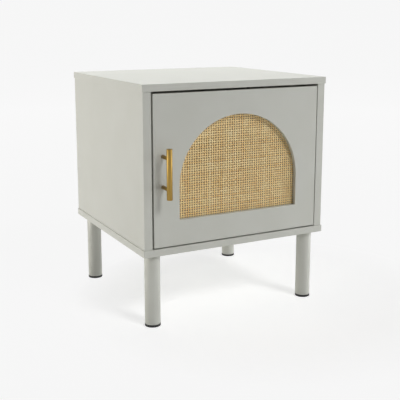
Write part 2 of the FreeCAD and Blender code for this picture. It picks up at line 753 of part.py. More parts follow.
def hinge_arm():
    half = size("arm_width") / 2
    thick = size("arm_thick")
    far = -size("arm_left")
    cross = size("arm_cross")
    block_face = -size("plate_thick") - size("plate_block")
    nose = min(ARM_OUTER.y, ARM_INNER.y) + eye_r
    # folded arm: tail on the plate, across behind the door edge, forward into the cup
    outer = [FreeCAD.Vector(block_face, size("arm_tail"), -half),
             FreeCAD.Vector(block_face, cross, -half),
             FreeCAD.Vector(far + thick, cross, -half),
             FreeCAD.Vector(far + thick, nose, -half),
             FreeCAD.Vector(far, nose, -half),
             FreeCAD.Vector(far, cross + thick, -half),
             FreeCAD.Vector(block_face - thick, cross + thick, -half),
             FreeCAD.Vector(block_face - thick, size("arm_tail"), -half)]
    profile = Part.Face(Part.makePolygon(outer + outer[:1]))
    folded = profile.extrude(FreeCAD.Vector(0, 0, 2 * half))
    bends = [edge for edge in folded.Edges if edge.BoundBox.ZLength > half
             and (abs(edge.CenterOfMass.x - far) < 0.01 and edge.CenterOfMass.y > cross
                  or abs(edge.CenterOfMass.x - block_face) < 0.01 and edge.CenterOfMass.y < cross + 0.01)]
    folded = folded.makeFillet(size("arm_bend"), bends)
    root = FreeCAD.Vector(far + thick / 2, nose + thick / 2, 0)
    blade = bar_face(root, ARM_OUTER, eye_r).fuse(bar_face(ARM_OUTER, ARM_INNER, eye_r))
    blade = blade.removeSplitter().extrude(FreeCAD.Vector(0, 0, 2 * blade_top))
    blade.translate(FreeCAD.Vector(0, 0, -blade_top))
    shape = folded.fuse(blade).removeSplitter()
    for centre in (ARM_OUTER, ARM_INNER):
        shape = shape.cut(seat_bore(centre, -half - 1, half + 1))
    return shape.cut(screw_bore(FreeCAD.Vector(block_face - 2 * thick, size("plate_deep"), 0),
                                RIGHTWARDS, 3 * thick))


def hinge_plate():
    half = size("plate_width") / 2
    deep = size("plate_deep")
    wing = block(-size("plate_thick"), 0, deep - half, deep + half, size("plate_length") / 2)
    corners = [edge for edge in wing.Edges if edge.BoundBox.XLength > size("plate_thick") / 2]
    wing = wing.makeChamfer(size("plate_corner"), corners)
    rail = block(-size("plate_thick") - size("plate_block"), -size("plate_thick"),
                 size("arm_cross") + size("arm_thick"), size("arm_tail"), size("arm_width") / 2 + 1)
    shape = wing.fuse(rail).removeSplitter()
    for sign in (-1, 1):
        shape = shape.cut(screw_bore(FreeCAD.Vector(-2 * size("plate_thick"), deep,
                                                    sign * size("plate_spacing") / 2),
                                     RIGHTWARDS, 4 * size("plate_thick")))
    return shape.cut(screw_bore(FreeCAD.Vector(-size("plate_thick") - size("plate_block"), deep, 0),
                                RIGHTWARDS, size("plate_block") - size("screw_end_room")))


def hinge_cup():
    centre = FreeCAD.Vector(-size("gap_right") - size("cup_edge"), size("door_thick"), 0)
    floor = size("door_thick") - size("cup_depth")
    outer = prism(CUP_SIDES, size("cup_dia") / 2, size("cup_depth"),
                  FreeCAD.Vector(centre.x, floor, 0), BACKWARDS)
    hollow = prism(CUP_SIDES, size("cup_dia") / 2 - size("cup_wall"), size("cup_depth") * 2,
                   FreeCAD.Vector(centre.x, floor + size("cup_wall"), 0), BACKWARDS)
    rim = prism(CUP_SIDES, size("cup_dia") / 2 + size("cup_rim"), size("flange_thick"), centre, BACKWARDS)
    wing = Part.makeBox(size("wing_width"), size("flange_thick"), size("wing_length"),
                        FreeCAD.Vector(centre.x - size("wing_back") - size("wing_width") / 2, centre.y,
                                       -size("wing_length") / 2))
    corners = [edge for edge in wing.Edges if edge.BoundBox.YLength > size("flange_thick") / 2]
    wing = wing.makeChamfer(size("wing_corner"), corners)
    shell = outer.fuse([rim, wing]).removeSplitter().cut(hollow)
    bosses = []
    for pin in (CUP_OUTER, CUP_INNER):
        boss = Part.makeBox(2 * eye_r, pin.y + size("boss_cover") - floor - size("cup_wall") / 2,
                            size("boss_length"),
                            FreeCAD.Vector(pin.x - eye_r, floor + size("cup_wall") / 2, boss_low))
        bosses += both(boss)
    shape = shell.fuse(bosses).removeSplitter()
    for pin in (CUP_OUTER, CUP_INNER):
        for bore in both(seat_bore(pin, boss_low - 1, boss_high)):
            shape = shape.cut(bore)
    for sign in (-1, 1):
        shape = shape.cut(screw_bore(FreeCAD.Vector(centre.x - size("wing_back"),
                                                    centre.y - size("flange_thick"),
                                                    sign * size("cup_screw_spacing") / 2),
                                     BACKWARDS, 4 * size("flange_thick")))
    return shape


hinge_pieces = {
    "hinge_cup": hinge_cup(),
    "hinge_arm": hinge_arm(),
    "hinge_plate": hinge_plate(),
    "hinge_outer_links": Part.makeCompound(both(link(ARM_OUTER, CUP_OUTER, outer_low, outer_high,
                                                     size("run_room"), size("run_room")))),
    "hinge_inner_links": Part.makeCompound(both(link(ARM_INNER, CUP_INNER, inner_low, inner_high,
                                                     size("run_room"), size("open_room")))),
}
arm_pins = [stem(ARM_OUTER, pin_r, -outer_high - size("pin_end"), outer_high + size("pin_end")),
            stem(ARM_INNER, pin_r, -inner_high - size("pin_end"), inner_high + size("pin_end"))]
cup_pins = both(stem(CUP_OUTER, pin_r, outer_low - size("pin_end"), boss_high))
inner_pin = inner_low - size("pin_end")
cup_pins += both(prism(EYE_SIDES, pin_r, boss_high - inner_pin,
                       FreeCAD.Vector(CUP_INNER.x, CUP_INNER.y, inner_pin), UPWARDS))


def fixed(label, shape, level):
    # hinge pieces stand off the front corner of the right side panel
    item = doc.addObject("Part::Feature", label)
    item.Shape = shape
    put(item, "bay.X", "bay.Y", "bay.Z + " + level)
    return keep(item, label)


def raised(shape, height):
    copy = shape.copy()
    copy.translate(FreeCAD.Vector(0, 0, height))
    return copy


PLATE_LEVELS = ("gap_bottom + hinge_end", "side_height - gap_top - hinge_end")
for place, level in zip(("lower", "upper"), PLATE_LEVELS):
    for label, shape in hinge_pieces.items():
        fixed(place + "_" + label, shape, level)
span = size("side_height") - size("gap_bottom") - size("gap_top") - 2 * size("hinge_end")
for label, pins in (("hinge_arm_pins", arm_pins), ("hinge_cup_pins", cup_pins)):
    fixed(label, Part.makeCompound(pins + [raised(pin, span) for pin in pins]), PLATE_LEVELS[0])

screws("hinge_plate_screws", [("plate_deep", level + sign + "plate_spacing/2")
                              for level in PLATE_LEVELS for sign in SIGNS],
       "bay", "-plate_thick", "small_screw_length", forward=True, along="x")
screws("hinge_arm_screws", [("plate_deep", level) for level in PLATE_LEVELS], "bay",
       "-plate_thick - plate_block - arm_thick", "arm_thick + plate_block - screw_end_room",
       forward=True, along="x")
screws("hinge_cup_screws", cup_screw_spots, "leaf", "door_thick + flange_thick", "small_screw_length")

# magnetic catch on the left side; its magnet meets the strike plate and stops the door
CATCH_Y = "carcass.Y + door_thick + strike_thick"
CATCH_Z = "lid.Z - catch_below_top"
MAGNET_X = "catch_wide - magnet_lip - magnet_wide"
EAR_Z = "(catch_tall + catch_ear)/2"
housing = cut("catch_housing", fuse("catch_block", [
    box("catch_core", "catch_wide", "catch_deep", "catch_tall", "0", "0", "-catch_tall/2"),
    box("catch_ears", "catch_ear_thick", "catch_deep", "catch_tall + 2*catch_ear", "0", "0",
        "-catch_tall/2 - catch_ear")]), [
    box("catch_pocket", "magnet_wide", "magnet_deep", "magnet_tall", MAGNET_X, "0",
        "-magnet_tall/2"),
    peg("catch_bore_low", "small_screw_dia + hole_room", "catch_ear_thick", "0", "catch_deep/2",
        "-" + EAR_Z, along="x", sides=SHANK_SIDES),
    peg("catch_bore_high", "small_screw_dia + hole_room", "catch_ear_thick", "0", "catch_deep/2",
        EAR_Z, along="x", sides=SHANK_SIDES)])
keep(put(housing, "-bay.X", CATCH_Y, CATCH_Z), "catch_housing")
keep(box("catch_magnet", "magnet_wide", "magnet_deep", "magnet_tall", MAGNET_X + " - bay.X", CATCH_Y,
         CATCH_Z + " - magnet_tall/2"), "catch_magnet")
strike = cut("strike_plate", box("strike_blank", "strike_wide", "strike_thick", "strike_tall"), [
    peg("strike_bore", "small_screw_dia + hole_room", "strike_thick", "strike_wide/2", "0",
        "strike_tall/2", along="y", sides=SHANK_SIDES),
    peg("strike_step", "small_head_dia + hole_room", "strike_head_thick", "strike_wide/2",
        "strike_thick - strike_head_thick", "strike_tall/2", along="y")])
keep(put(strike, "leaf.X + strike_inset", "leaf_end.Y", CATCH_Z + " - strike_tall/2"), "strike_plate")
screws("strike_screw", strike_spots, "leaf", "door_thick + strike_thick - strike_head_thick",
       "small_screw_length", head_thick="strike_head_thick")
screws("catch_screws", [("door_thick + strike_thick + catch_deep/2",
                         "side_height - catch_below_top" + sign + EAR_Z) for sign in SIGNS],
       "carcass", "side_thick + catch_ear_thick", "small_screw_length", along="x")

# write the pieces once every object is sound
doc.recompute()
for item in doc.Objects:
    if "Invalid" in item.State or "Error" in item.State:
        raise RuntimeError("failed object: " + item.Label)
for item in nodes:
    if item.Shape.isNull() or not item.Shape.isValid():
        raise RuntimeError("failed shape: " + item.Label)
os.makedirs("parts", exist_ok=True)
for item in nodes:
    item.Shape.exportStep("parts/" + item.Label + ".step")
print(len(nodes), "pieces")
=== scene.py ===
import math
import random

import bmesh
import bpy
from mathutils import Matrix, Vector


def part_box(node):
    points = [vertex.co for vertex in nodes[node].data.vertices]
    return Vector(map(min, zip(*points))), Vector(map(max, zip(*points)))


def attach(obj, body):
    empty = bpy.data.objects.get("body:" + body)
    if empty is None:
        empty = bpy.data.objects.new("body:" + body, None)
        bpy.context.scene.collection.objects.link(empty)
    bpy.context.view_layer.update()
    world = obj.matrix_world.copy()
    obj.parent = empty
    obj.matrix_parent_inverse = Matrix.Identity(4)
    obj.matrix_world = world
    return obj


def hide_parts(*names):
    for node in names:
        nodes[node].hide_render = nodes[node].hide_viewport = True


# Storage side table: satin painted boards on four round legs, one door with an arched cane panel.
# Metres; the door faces -Y and hangs on two cup hinges on the right.

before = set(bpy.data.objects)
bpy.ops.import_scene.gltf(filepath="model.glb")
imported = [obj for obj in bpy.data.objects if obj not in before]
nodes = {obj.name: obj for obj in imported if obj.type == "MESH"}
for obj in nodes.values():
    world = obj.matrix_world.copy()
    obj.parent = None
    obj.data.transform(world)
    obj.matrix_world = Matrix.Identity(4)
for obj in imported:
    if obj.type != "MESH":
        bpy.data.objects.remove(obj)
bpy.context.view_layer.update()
scene = bpy.context.scene
scene.view_settings.view_transform = "Standard"
MM = 0.001
SAME_PLACE = 0.001 * MM

# Materials
LACQUER_IOR = 1.5
CANE_IOR = 1.5
WOOD_IOR = 1.5
PLASTIC_IOR = 1.46


def linear(hexcode):
    # sRGB hex to the linear colour that a shader socket takes
    parts = [int(hexcode[i:i + 2], 16) / 255 for i in (1, 3, 5)]
    return tuple(c / 12.92 if c <= 0.04045 else ((c + 0.055) / 1.055) ** 2.4 for c in parts) + (1.0,)


def add(tree, kind, settings=None, links=None):
    # one node: settings fill its ramp, its sockets or its properties, links join outputs to its sockets
    item = tree.nodes.new(kind)
    for key, value in (settings or {}).items():
        if key == "stops":
            elements = item.color_ramp.elements
            while len(elements) < len(value):
                elements.new(0.5)
            for element, (position, hexcode) in zip(elements, value):
                element.position = position
                element.color = linear(hexcode)
        elif isinstance(key, int) or key in item.inputs:
            item.inputs[key].default_value = value
        else:
            setattr(item, key, value)
    for key, source in (links or {}).items():
        tree.links.new(source, item.inputs[key])
    return item


def bare_material(name, **shader):
    # new material: its tree, its surface shader and the piece's own coordinates
    made = bpy.data.materials.new(name)
    made.use_nodes = True
    tree = made.node_tree
    surface = tree.nodes["Principled BSDF"]
    for key, value in shader.items():
        surface.inputs[key.replace("_", " ")].default_value = value
    place = add(tree, "ShaderNodeTexCoord").outputs["Object"]
    return made, tree, surface, place


def coat(tree, surface, colour, rough, bump):
    # what the eye gets from a surface: colour, roughness and dents, each led by a pattern
    pattern, stops = colour
    ramp = add(tree, "ShaderNodeValToRGB", {"stops": stops}, {"Fac": pattern})
    tree.links.new(ramp.outputs["Color"], surface.inputs["Base Color"])
    pattern, least, most = rough
    spread = add(tree, "ShaderNodeMapRange", {"To Min": least, "To Max": most}, {"Value": pattern})
    tree.links.new(spread.outputs["Result"], surface.inputs["Roughness"])
    pattern, depth, strength = bump
    dents = add(tree, "ShaderNodeBump", {"Strength": strength, "Distance": depth}, {"Height": pattern})
    tree.links.new(dents.outputs["Normal"], surface.inputs["Normal"])


# Satin lacquer sprayed on fibreboard and turned wood: an even sage grey, faintly cloudy, with an
# orange peel that softens the reflections. Its 1 mm dimples are drawn 2.5 mm wide so that they show.
def satin_lacquer(name, low, high):
    cloud_size = 70 * MM
    dimple_size = 2.5 * MM
    dimple_depth = 0.03 * MM
    made, tree, surface, place = bare_material(name, IOR=LACQUER_IOR)
    cloud = add(tree, "ShaderNodeTexNoise", {"Scale": 1 / cloud_size, "Detail": 5.0}, {"Vector": place})
    peel = add(tree, "ShaderNodeTexNoise", {"Scale": 1 / dimple_size, "Detail": 2.0}, {"Vector": place})
    coat(tree, surface,
         colour=(cloud.outputs["Fac"], ((0.3, low), (0.7, high))),
         rough=(cloud.outputs["Fac"], 0.38, 0.46),
         bump=(peel.outputs["Fac"], dimple_depth, 0.5))
    return made


# Painted hardboard, rolled: the same grey, flatter, with a faint felted fibre in it. Fibres of well
# under 1 mm are drawn 2.5 mm wide so that they show.
def painted_hardboard():
    fibre_size = 2.5 * MM
    fibre_depth = 0.02 * MM
    made, tree, surface, place = bare_material("painted_hardboard_rolled", IOR=LACQUER_IOR)
    felt = add(tree, "ShaderNodeTexNoise", {"Scale": 1 / fibre_size, "Detail": 6.0}, {"Vector": place})
    coat(tree, surface,
         colour=(felt.outputs["Fac"], ((0.3, "#C6C7BC"), (0.7, "#CACBC1"))),
         rough=(felt.outputs["Fac"], 0.55, 0.7),
         bump=(felt.outputs["Fac"], fibre_depth, 0.4))
    return made


# Lacquered pine strip: the paint lets the grain stand up a little.
def lacquered_strip():
    grain_size = 9 * MM
    grain_depth = 0.06 * MM
    made, tree, surface, place = bare_material("satin_lacquer_on_strip", IOR=LACQUER_IOR)
    run = add(tree, "ShaderNodeMapping", {"Scale": (1.0, 1.0, 12.0)}, {"Vector": place})
    grain = add(tree, "ShaderNodeTexNoise", {"Scale": 1 / grain_size, "Detail": 5.0},
                {"Vector": run.outputs[0]})
    coat(tree, surface,
         colour=(grain.outputs["Fac"], ((0.3, "#C0C1B4"), (0.7, "#CBCCC0"))),
         rough=(grain.outputs["Fac"], 0.42, 0.56),
         bump=(grain.outputs["Fac"], grain_depth, 1.0))
    return made


# Peeled cane: pale honey bark with a waxy sheen and fine fibre lines along it, brown along the cut edges,
# which is partly painted shade that rounds each strip, and each strip its own tone. Fibres of 0.1 mm are
# drawn 0.5 mm wide so that they show.
def cane_peel(name, stretch):
    fibre_size = 0.5 * MM
    fibre_depth = 0.06 * MM
    fibre_share = 0.45
    patch_size = 18 * MM
    patch_share = 0.35
    made, tree, surface, place = bare_material(name, IOR=CANE_IOR)
    run = add(tree, "ShaderNodeMapping", {"Scale": stretch}, {"Vector": place})
    fibre = add(tree, "ShaderNodeTexNoise", {"Scale": 1 / fibre_size, "Detail": 3.0},
                {"Vector": run.outputs[0]})
    patch = add(tree, "ShaderNodeTexNoise", {"Scale": 1 / patch_size, "Detail": 2.0}, {"Vector": place})
    shade = add(tree, "ShaderNodeAttribute", {"attribute_name": "strip_shade"})
    lined = add(tree, "ShaderNodeMath", {"operation": "MULTIPLY_ADD", 1: fibre_share},
                {0: fibre.outputs["Fac"], 2: shade.outputs["Fac"]})
    aged = add(tree, "ShaderNodeMath", {"operation": "MULTIPLY_ADD", 1: patch_share},
               {0: patch.outputs["Fac"], 2: lined.outputs[0]})
    # the darkest stop is the cut edges' brown, partly painted shade that rounds each strip
    cut_edge_and_shade_to_bark = ((0.05, "#B0824A"), (0.25, "#FFD68E"), (0.45, "#FFE8B0"), (0.7, "#FFF2D2"))
    coat(tree, surface,
         colour=(aged.outputs[0], cut_edge_and_shade_to_bark),
         rough=(fibre.outputs["Fac"], 0.38, 0.6),
         bump=(fibre.outputs["Fac"], fibre_depth, 1.0))
    return made


# Brushed brass under clear lacquer: long scratches along the piece stretch the highlights across it.
# Scratches of 0.05 mm are drawn 0.6 mm wide so that they show.
def brushed_brass():
    scratch_size = 0.6 * MM
    scratch_depth = 0.02 * MM
    made, tree, surface, place = bare_material("brass_brushed_lengthwise", Metallic=1.0)
    run = add(tree, "ShaderNodeMapping", {"Scale": (1.0, 1.0, 0.02)}, {"Vector": place})
    scratch = add(tree, "ShaderNodeTexNoise", {"Scale": 1 / scratch_size, "Detail": 4.0},
                  {"Vector": run.outputs[0]})
    coat(tree, surface,
         colour=(scratch.outputs["Fac"], ((0.3, "#8E7338"), (0.7, "#A88B4E"))),
         rough=(scratch.outputs["Fac"], 0.32, 0.46),
         bump=(scratch.outputs["Fac"], scratch_depth, 1.0))
    return made


# ABS moulded in a spark-eroded tool, black or white, and sintered ferrite: a fine grain that gives the
# edges a soft, dull sheen. Pits of 0.1 mm are drawn 0.8 mm wide so that they show.
def moulded_plastic(name, low, high, least, most):
    pit_size = 0.8 * MM
    pit_depth = 0.04 * MM
    made, tree, surface, place = bare_material(name, IOR=PLASTIC_IOR)
    grain = add(tree, "ShaderNodeTexNoise", {"Scale": 1 / pit_size, "Detail": 3.0}, {"Vector": place})
    coat(tree, surface,
         colour=(grain.outputs["Fac"], ((0.3, low), (0.7, high))),
         rough=(grain.outputs["Fac"], least, most),
         bump=(grain.outputs["Fac"], pit_depth, 1.0))
    return made


# Zinc, cast or plated, and nickel plate: a bright coat over a slightly uneven base, finely mottled.
def plated_metal(name, low, high, least, most, mottle_size):
    mottle_depth = 0.02 * MM
    made, tree, surface, place = bare_material(name, Metallic=1.0)
    mottle = add(tree, "ShaderNodeTexNoise", {"Scale": 1 / mottle_size, "Detail": 4.0}, {"Vector": place})
    coat(tree, surface,
         colour=(mottle.outputs["Fac"], ((0.3, low), (0.7, high))),
         rough=(mottle.outputs["Fac"], least, most),
         bump=(mottle.outputs["Fac"], mottle_depth, 1.0))
    return made


# Beech rod: pale pinkish wood with short dark flecks along the grain.
def beech_rod():
    fleck_size = 0.9 * MM
    fleck_depth = 0.05 * MM
    made, tree, surface, place = bare_material("beech_rod_turned", IOR=WOOD_IOR)
    run = add(tree, "ShaderNodeMapping", {"Scale": (1.0, 1.0, 0.12)}, {"Vector": place})
    fleck = add(tree, "ShaderNodeTexNoise", {"Scale": 1 / fleck_size, "Detail": 4.0},
                {"Vector": run.outputs[0]})
    coat(tree, surface,
         colour=(fleck.outputs["Fac"], ((0.3, "#B98A5C"), (0.7, "#DDB88A"))),
         rough=(fleck.outputs["Fac"], 0.55, 0.75),
         bump=(fleck.outputs["Fac"], fleck_depth, 1.0))
    return made


finishes = {
    "painted_board": satin_lacquer("satin_lacquer_on_board", "#CACBC3", "#CDCEC7"),
    # the legs' copy is a touch darker than the boards': painted shade, for the shade that falls on the
    # legs under the table
    "painted_leg": satin_lacquer("satin_lacquer_on_turned_wood", "#C9CAC2", "#CDCEC7"),
    "back_board": painted_hardboard(),
    "frame_wood": lacquered_strip(),
    "foot_plastic": moulded_plastic("black_abs_moulded", "#141414", "#1E1E1E", least=0.45, most=0.6),
    "catch_plastic": moulded_plastic("white_abs_moulded", "#DEDED8", "#E8E8E3", least=0.35, most=0.5),
    "magnet": moulded_plastic("ferrite_sintered", "#2C2C2D", "#3A3A3B", least=0.55, most=0.75),
    "brass": brushed_brass(),
    "dowel_wood": beech_rod(),
    "zinc_alloy": plated_metal("zinc_die_cast", "#8E9092", "#A6A8AA", least=0.4, most=0.6,
                               mottle_size=1.5 * MM),
    "zinc_steel": plated_metal("zinc_plated_steel", "#B4B7BA", "#CBCED0", least=0.28, most=0.42,
                               mottle_size=2.5 * MM),
    "nickel_steel": plated_metal("nickel_plated_steel", "#C2BEB6", "#D6D2CA", least=0.2, most=0.34,
                                 mottle_size=6 * MM),
    "woven_cane": cane_peel("cane_peel_upright", stretch=(1.0, 1.0, 0.03)),
}

# Eased edges of the boards and fittings
EASED = {"painted_board": 0.5 * MM, "painted_leg": 0.6 * MM, "back_board": 0.3 * MM,
         "frame_wood": 0.4 * MM, "foot_plastic": 1.2 * MM, "brass": 0.7 * MM,
         "catch_plastic": 0.4 * MM, "magnet": 0.2 * MM, "nickel_steel": 0.2 * MM}
EASE_STEPS = 2
SHARP_ANGLE = math.radians(40)
for node in nodes.values():
    slot = node.data.materials[0].name
    node.data.materials[0] = finishes[slot]
    if slot in EASED:
        weld = node.modifiers.new("weld", "WELD")
        weld.merge_threshold = SAME_PLACE
        ease = node.modifiers.new("eased_edges", "BEVEL")
        ease.width = EASED[slot]
        ease.segments = EASE_STEPS
        ease.limit_method = "ANGLE"
        ease.angle_limit = SHARP_ANGLE
        ease.harden_normals = True


def settle(bm, name, body, material, stands_for):
    # finished shape made an object that rides on its body and stands for its CAD node
    mesh = bpy.data.meshes.new(name)
    bm.to_mesh(mesh)
    bm.free()
    mesh.materials.append(material)
    piece = bpy.data.objects.new(name, mesh)
    scene.collection.objects.link(piece)
    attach(piece, body)
    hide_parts(stands_for)


# Woven cane: flat strips over and under each other, with small square holes between. The weave of
# about 4.8 mm is drawn up to a fifth coarser so that its holes show.
# The sheet ends in the door's rebate, a little beyond the arched opening.
sheet_low, sheet_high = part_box("cane_panel")
SHEET_RADIUS = (sheet_high[0] - sheet_low[0]) / 2
SHEET_MIDDLE = (sheet_low[0] + sheet_high[0]) / 2
SHEET_DEPTH = (sheet_low[1] + sheet_high[1]) / 2
SPRING_LINE = sheet_high[2] - SHEET_RADIUS
SHEET_EDGE = 2 * MM
ACROSS_PITCH = 5.7 * MM
RISE_PITCH = 5.2 * MM
UPRIGHT_WIDTH = 3.4 * MM
CROSS_WIDTH = 3.0 * MM
STRIP_THICK = 0.45 * MM
WEAVE_LIFT = 0.27 * MM
# a strip starts as a six-sided prism, 1 wide across its corners and this much across its flats
STRIP_SIDES = 6
PRISM_FLATS = 0.866
# corners farther out than this are the cut edges, darker by this much: their own brown and painted shade
EDGE_CORNER = 0.4
EDGE_DARK_AND_PAINTED_SHADE = 0.35
# uneven hand of the weave: each strip's shade, width, place and slow wander, in radians per metre
SHADE_SPREAD = 0.05
WIDTH_RANGE = (0.94, 1.06)
DRIFT = 0.1 * MM
SWAY = 0.08 * MM
SWAY_TURN = 45
draw = random.Random(7)


def strip(bm, shade_layer, start, end, origin, pitch, width, row, upright, shift):
    # one strip from start to end, with a ring of corners on each side of every crossing
    first = math.ceil((start - origin) / pitch * 2 - 0.5)
    last = math.floor((end - origin) / pitch * 2 - 0.5)
    if last - first < 2:
        return
    count = len(bm.verts)
    bmesh.ops.create_cone(bm, cap_ends=True, segments=STRIP_SIDES, radius1=0.5, radius2=0.5,
                          depth=last - first)
    bm.verts.ensure_lookup_table()
    edges = {edge for vert in bm.verts[count:] for edge in vert.link_edges
             if abs(edge.verts[0].co.z - edge.verts[1].co.z) > 0.5}
    bmesh.ops.subdivide_edges(bm, edges=list(edges), cuts=last - first - 1)
    bm.verts.ensure_lookup_table()
    rings = bm.verts[count:]
    shade = draw.gauss(0.0, SHADE_SPREAD)
    drift = draw.uniform(-1.0, 1.0) * DRIFT
    sway = draw.uniform(0.0, 2 * math.pi)
    own_width = width * draw.uniform(*WIDTH_RANGE)
    for vert in rings:
        step = round(vert.co.z + (last - first) / 2) + first
        run = origin + (step + 0.5) * pitch / 2
        crossing = math.floor((step + 1) / 2)
        lift = WEAVE_LIFT if (crossing + row + upright) % 2 else -WEAVE_LIFT
        side = shift + drift + own_width * vert.co.y + SWAY * math.sin(sway + run * SWAY_TURN)
        deep = SHEET_DEPTH + lift + STRIP_THICK * vert.co.x / PRISM_FLATS
        # painted shade: the strip's outer corners are darkened, partly for the cut edges' own brown,
        # partly to round the strip and darken the rims of the holes
        vert[shade_layer] = shade - EDGE_DARK_AND_PAINTED_SHADE * (abs(vert.co.y) > EDGE_CORNER)
        vert.co = (side, deep, run) if upright else (run, deep, side)
    for vert in rings:
        for face in vert.link_faces:
            face.smooth = True


def weave(name, upright, width, material):
    # all strips of one direction, each as long as the arch is there
    bm = bmesh.new()
    shade_layer = bm.verts.layers.float.new("strip_shade")
    if upright:
        count = math.floor((SHEET_RADIUS - SHEET_EDGE) / ACROSS_PITCH)
        for row in range(-count, count + 1):
            off = row * ACROSS_PITCH
            top = SPRING_LINE + math.sqrt(SHEET_RADIUS ** 2 - off ** 2)
            strip(bm, shade_layer, sheet_low[2], top, sheet_low[2], RISE_PITCH, width, row, True,
                  SHEET_MIDDLE + off)
    else:
        count = math.floor((sheet_high[2] - sheet_low[2] - SHEET_EDGE) / RISE_PITCH)
        for row in range(count + 1):
            level = sheet_low[2] + row * RISE_PITCH
            above = max(level - SPRING_LINE, 0.0)
            half = math.sqrt(SHEET_RADIUS ** 2 - above ** 2)
            strip(bm, shade_layer, SHEET_MIDDLE - half, SHEET_MIDDLE + half, SHEET_MIDDLE, ACROSS_PITCH,
                  width, row, False, level)
    settle(bm, name, "door", material, "cane_panel")


weave("cane_uprights", True, UPRIGHT_WIDTH, finishes["woven_cane"])
weave("cane_cross_strips", False, CROSS_WIDTH, cane_peel("cane_peel_crosswise", stretch=(0.03, 1.0, 1.0)))

# Screws: pan heads with a cross recess, over the seats of the CAD screws. Shares are of the head's
# width or thickness, and the taper is of the recess.
HEAD_SIDES = 12
CROWN_SHARE = 0.35
RECESS_SPAN = 0.55
RECESS_DEPTH = 0.6
RECESS_TAPER = 0.75
RIM_SHARE = 0.42
SCREWS = {
    "cabinet": ("base_screws", "catch_screws", "hinge_plate_screws", "hinge_arm_screws"),
    "door": ("handle_screws", "hinge_cup_screws", "strike_screw"),
}


def islands(name):
    # corners of each separate solid of a node
    bm = bmesh.new()
    bm.from_mesh(nodes[name].data)
    bmesh.ops.remove_doubles(bm, verts=bm.verts, dist=SAME_PLACE)
    waiting = set(bm.verts)
    found = []
    while waiting:
        stack = [waiting.pop()]
        group = []
        while stack:
            vert = stack.pop()
            group.append(vert.co.copy())
            for edge in vert.link_edges:
                near = edge.other_vert(vert)
                if near in waiting:
                    waiting.remove(near)
                    stack.append(near)
        found.append(group)
    bm.free()
    return found


def cross_head(across, thick, shank, length):
    # a round rim bridged to a square of nine cells, whose cross is pushed in; the shank grows below
    bm = bmesh.new()
    crown = CROWN_SHARE * thick
    reach = RECESS_SPAN * across
    cell = reach / 3
    bmesh.ops.create_grid(bm, x_segments=3, y_segments=3, size=reach / 2,
                          matrix=Matrix.Translation((0, 0, thick)))
    cross = [face for face in bm.faces
             if min(abs(face.calc_center_median().x), abs(face.calc_center_median().y)) < cell / 4]
    inner = [edge for edge in bm.edges if edge.is_boundary]
    rim = bmesh.ops.create_circle(bm, segments=HEAD_SIDES, radius=across / 2,
                                  matrix=Matrix.Translation((0, 0, thick - crown)))
    outer = list({edge for vert in rim["verts"] for edge in vert.link_edges})
    bmesh.ops.bridge_loops(bm, edges=inner + outer)
    sunk = bmesh.ops.extrude_face_region(bm, geom=cross)
    floor_verts = [item for item in sunk["geom"] if isinstance(item, bmesh.types.BMVert)]
    bmesh.ops.delete(bm, geom=[face for face in cross if face.is_valid], context="FACES_ONLY")
    bmesh.ops.translate(bm, verts=floor_verts, vec=(0, 0, -RECESS_DEPTH * thick))
    bmesh.ops.scale(bm, verts=floor_verts, vec=(RECESS_TAPER, RECESS_TAPER, 1.0))
    outer = [edge for edge in bm.edges if edge.is_boundary]
    skirt = bmesh.ops.extrude_edge_only(bm, edges=outer)
    low_edges = [item for item in skirt["geom"] if isinstance(item, bmesh.types.BMEdge)]
    low_verts = [item for item in skirt["geom"] if isinstance(item, bmesh.types.BMVert)]
    bmesh.ops.translate(bm, verts=low_verts, vec=(0, 0, crown - thick))
    base = bmesh.ops.edgeloop_fill(bm, edges=low_edges)["faces"]
    if shank:
        bmesh.ops.inset_region(bm, faces=base, thickness=(across - shank) / 2)
        grown = bmesh.ops.extrude_face_region(bm, geom=base)
        tip = [item for item in grown["geom"] if isinstance(item, bmesh.types.BMVert)]
        bmesh.ops.delete(bm, geom=[face for face in base if face.is_valid], context="FACES_ONLY")
        bmesh.ops.translate(bm, verts=tip, vec=(0, 0, -length))
    bmesh.ops.recalc_face_normals(bm, faces=bm.faces)
    return bm


def dress_screws(name, body):
    # every screw of a node, found by its long side and its wide end
    whole = bmesh.new()
    for group in islands(name):
        low = Vector([min(co[k] for co in group) for k in range(3)])
        high = Vector([max(co[k] for co in group) for k in range(3)])
        size = high - low
        axis = max(range(3), key=lambda k: size[k])
        side = (axis + 1) % 3
        across = size[side]
        middle = (low + high) / 2
        wide = [co[axis] for co in group if abs(co[side] - middle[side]) > RIM_SHARE * across]
        forward = sum(wide) / len(wide) > middle[axis]
        narrow = [abs(co[side] - middle[side]) for co in group
                  if (co[axis] < middle[axis]) == forward]
        shank = 2 * max(narrow) if narrow else 0.0
        thick = max(wide) - min(wide)
        screw = cross_head(across, thick, shank, size[axis] - thick)
        seat = middle.copy()
        seat[axis] = min(wide) if forward else max(wide)
        heading = Vector([0, 0, 0])
        heading[axis] = 1 if forward else -1
        turn = heading.to_track_quat("Z", "Y").to_matrix().to_4x4()
        bmesh.ops.transform(screw, matrix=Matrix.Translation(seat) @ turn, verts=screw.verts)
        mesh = bpy.data.meshes.new("screw")
        screw.to_mesh(mesh)
        screw.free()
        whole.from_mesh(mesh)
        bpy.data.meshes.remove(mesh)
    settle(whole, name + "_dressed", body, finishes["zinc_steel"], name)


for body, names in SCREWS.items():
    for name in names:
        dress_screws(name, body)

